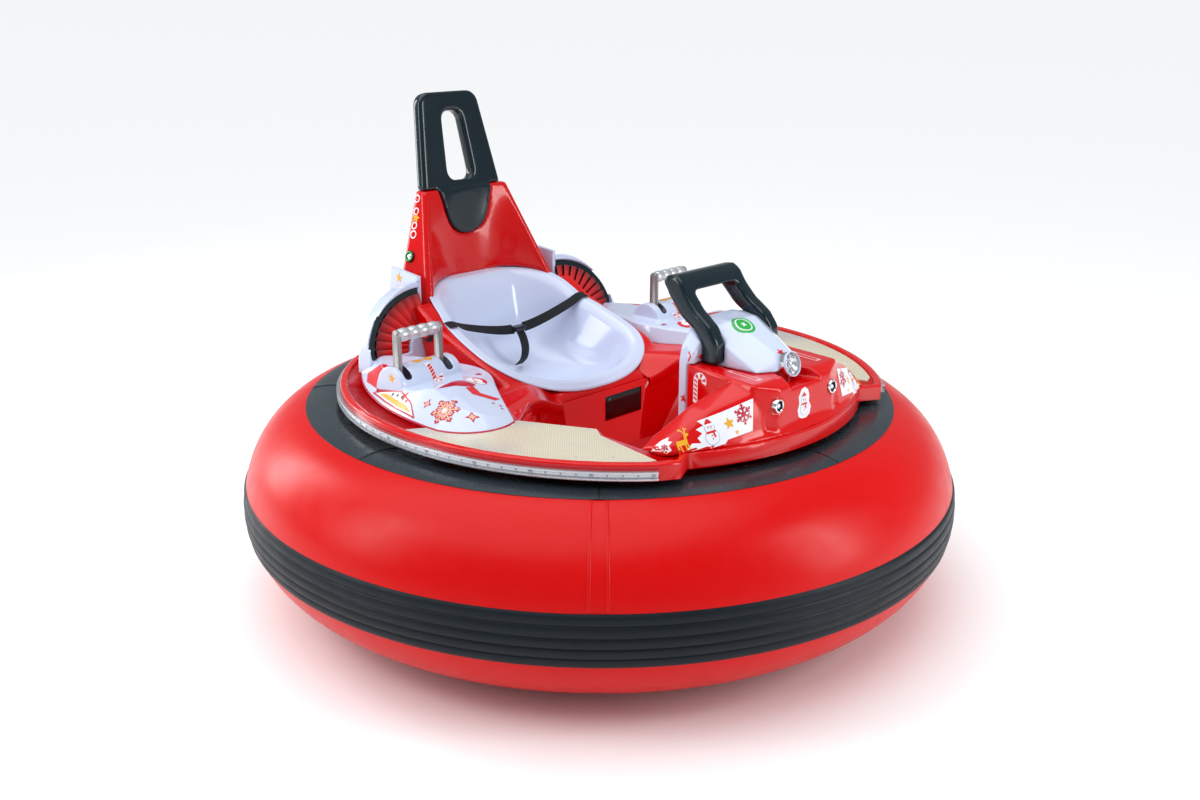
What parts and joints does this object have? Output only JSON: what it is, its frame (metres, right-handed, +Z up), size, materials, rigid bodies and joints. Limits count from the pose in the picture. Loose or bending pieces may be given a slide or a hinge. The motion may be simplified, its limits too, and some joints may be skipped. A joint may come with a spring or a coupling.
{
  "type": "inflatable bumper car",
  "caption": "Single-seat fairground bumper car on an inflatable ring, with lever steering, moulded seat, head-rest loop and nose handle.",
  "frame": {"origin": "on the floor, under the axis of the inflatable tube", "axes": "+X to the nose, +Y to the driver's left, +Z up"},
  "size_m": [1.6998, 1.6998, 1.1297],
  "materials": {
    "band_rubber": "ribbed black rubber",
    "battery_grey": "moulded case",
    "body_red": "polished red gel coat",
    "buckle_black": "satin",
    "caster_grey": "grey elastic tread",
    "drive_grey": "satin grey",
    "fan_black": "black with red blades",
    "fork_zinc": "zinc plated",
    "frame_steel": "black powder coat",
    "grip_cast": "silver paint on a casting",
    "handle_black": "smooth shiny black moulding",
    "lamp_chrome": "chrome ring round a clear lens",
    "lamp_clear": "clear lens",
    "lever_steel": "brushed flat bar",
    "panel_dark": "dark slate PVC sheet with welded seams",
    "rim_cast": "cast",
    "shell_white": "polished white gel coat",
    "strip_clear": "clear lamp channel with small lamps",
    "tread_aluminium": "fine raised pattern",
    "tube_red": "satin PVC sheet, softly reflecting",
    "tyre_black": "solid rubber",
    "webbing": "black webbing"
  },
  "bodies": {
    "hull": {"battery_pack": "battery_grey", "belt_buckle": "buckle_black", "belt_webbing": "webbing", "body_deck": "body_red", "body_posts": "frame_steel", "bumper_tube": "tube_red", "chassis_frame": "frame_steel", "eye_lamps": "lamp_chrome", "footwell_tub": "body_red", "front_handle": "handle_black", "headlamp": "lamp_clear", "headrest_loop": "handle_black", "left_console": "shell_white", "left_drive_unit": "drive_grey", "left_fan_panel": "fan_black", "left_pod": "shell_white", "left_rear_fin": "shell_white", "left_treadplate": "tread_aluminium", "light_strip": "strip_clear", "nose_cowl": "shell_white", "nose_shell": "body_red", "right_console": "shell_white", "right_drive_unit": "drive_grey", "right_fan_panel": "fan_black", "right_pod": "shell_white", "right_rear_fin": "shell_white", "right_treadplate": "tread_aluminium", "seat_pedestal": "body_red", "seat_shell": "shell_white", "tower": "body_red", "tube_band": "band_rubber", "tube_hoop": "frame_steel", "tube_top_panel": "panel_dark"},
    "left_lever": {"left_lever_arms": "lever_steel", "left_lever_grip": "grip_cast"},
    "right_lever": {"right_lever_arms": "lever_steel", "right_lever_grip": "grip_cast"},
    "left_drive_wheel": {"left_drive_rim": "rim_cast", "left_drive_tyre": "tyre_black"},
    "right_drive_wheel": {"right_drive_rim": "rim_cast", "right_drive_tyre": "tyre_black"},
    "front_caster": {"front_caster_fork": "fork_zinc"},
    "rear_caster": {"rear_caster_fork": "fork_zinc"},
    "front_caster_roller": {"front_caster_wheel": "caster_grey"},
    "rear_caster_roller": {"rear_caster_wheel": "caster_grey"}
  },
  "joints": [
    {"name": "left_wheel_spin", "type": "hinge", "parent": "hull", "child": "left_drive_wheel", "pos_m": [0, 0.29, 0.1], "axis": [0, 1, 0], "continuous": true},
    {"name": "left_lever_push", "type": "hinge", "parent": "hull", "child": "left_lever", "pos_m": [-0.155, 0.425, 0.537], "axis": [0, 1, 0], "range_deg": [0, 38], "stiffness_Nm_per_rad": 3},
    {"name": "right_wheel_spin", "type": "hinge", "parent": "hull", "child": "right_drive_wheel", "pos_m": [0, -0.29, 0.1], "axis": [0, 1, 0], "continuous": true},
    {"name": "right_lever_push", "type": "hinge", "parent": "hull", "child": "right_lever", "pos_m": [-0.155, -0.425, 0.537], "axis": [0, 1, 0], "range_deg": [0, 38], "stiffness_Nm_per_rad": 3},
    {"name": "front_caster_swivel", "type": "hinge", "parent": "hull", "child": "front_caster", "pos_m": [0.31, 0, 0.145], "axis": [0, 0, 1], "continuous": true},
    {"name": "front_caster_spin", "type": "hinge", "parent": "front_caster", "child": "front_caster_roller", "pos_m": [0.278, 0, 0.05], "axis": [0, 1, 0], "continuous": true},
    {"name": "rear_caster_swivel", "type": "hinge", "parent": "hull", "child": "rear_caster", "pos_m": [-0.31, 0, 0.145], "axis": [0, 0, 1], "continuous": true},
    {"name": "rear_caster_spin", "type": "hinge", "parent": "rear_caster", "child": "rear_caster_roller", "pos_m": [-0.342, 0, 0.05], "axis": [0, 1, 0], "continuous": true}
  ]
}
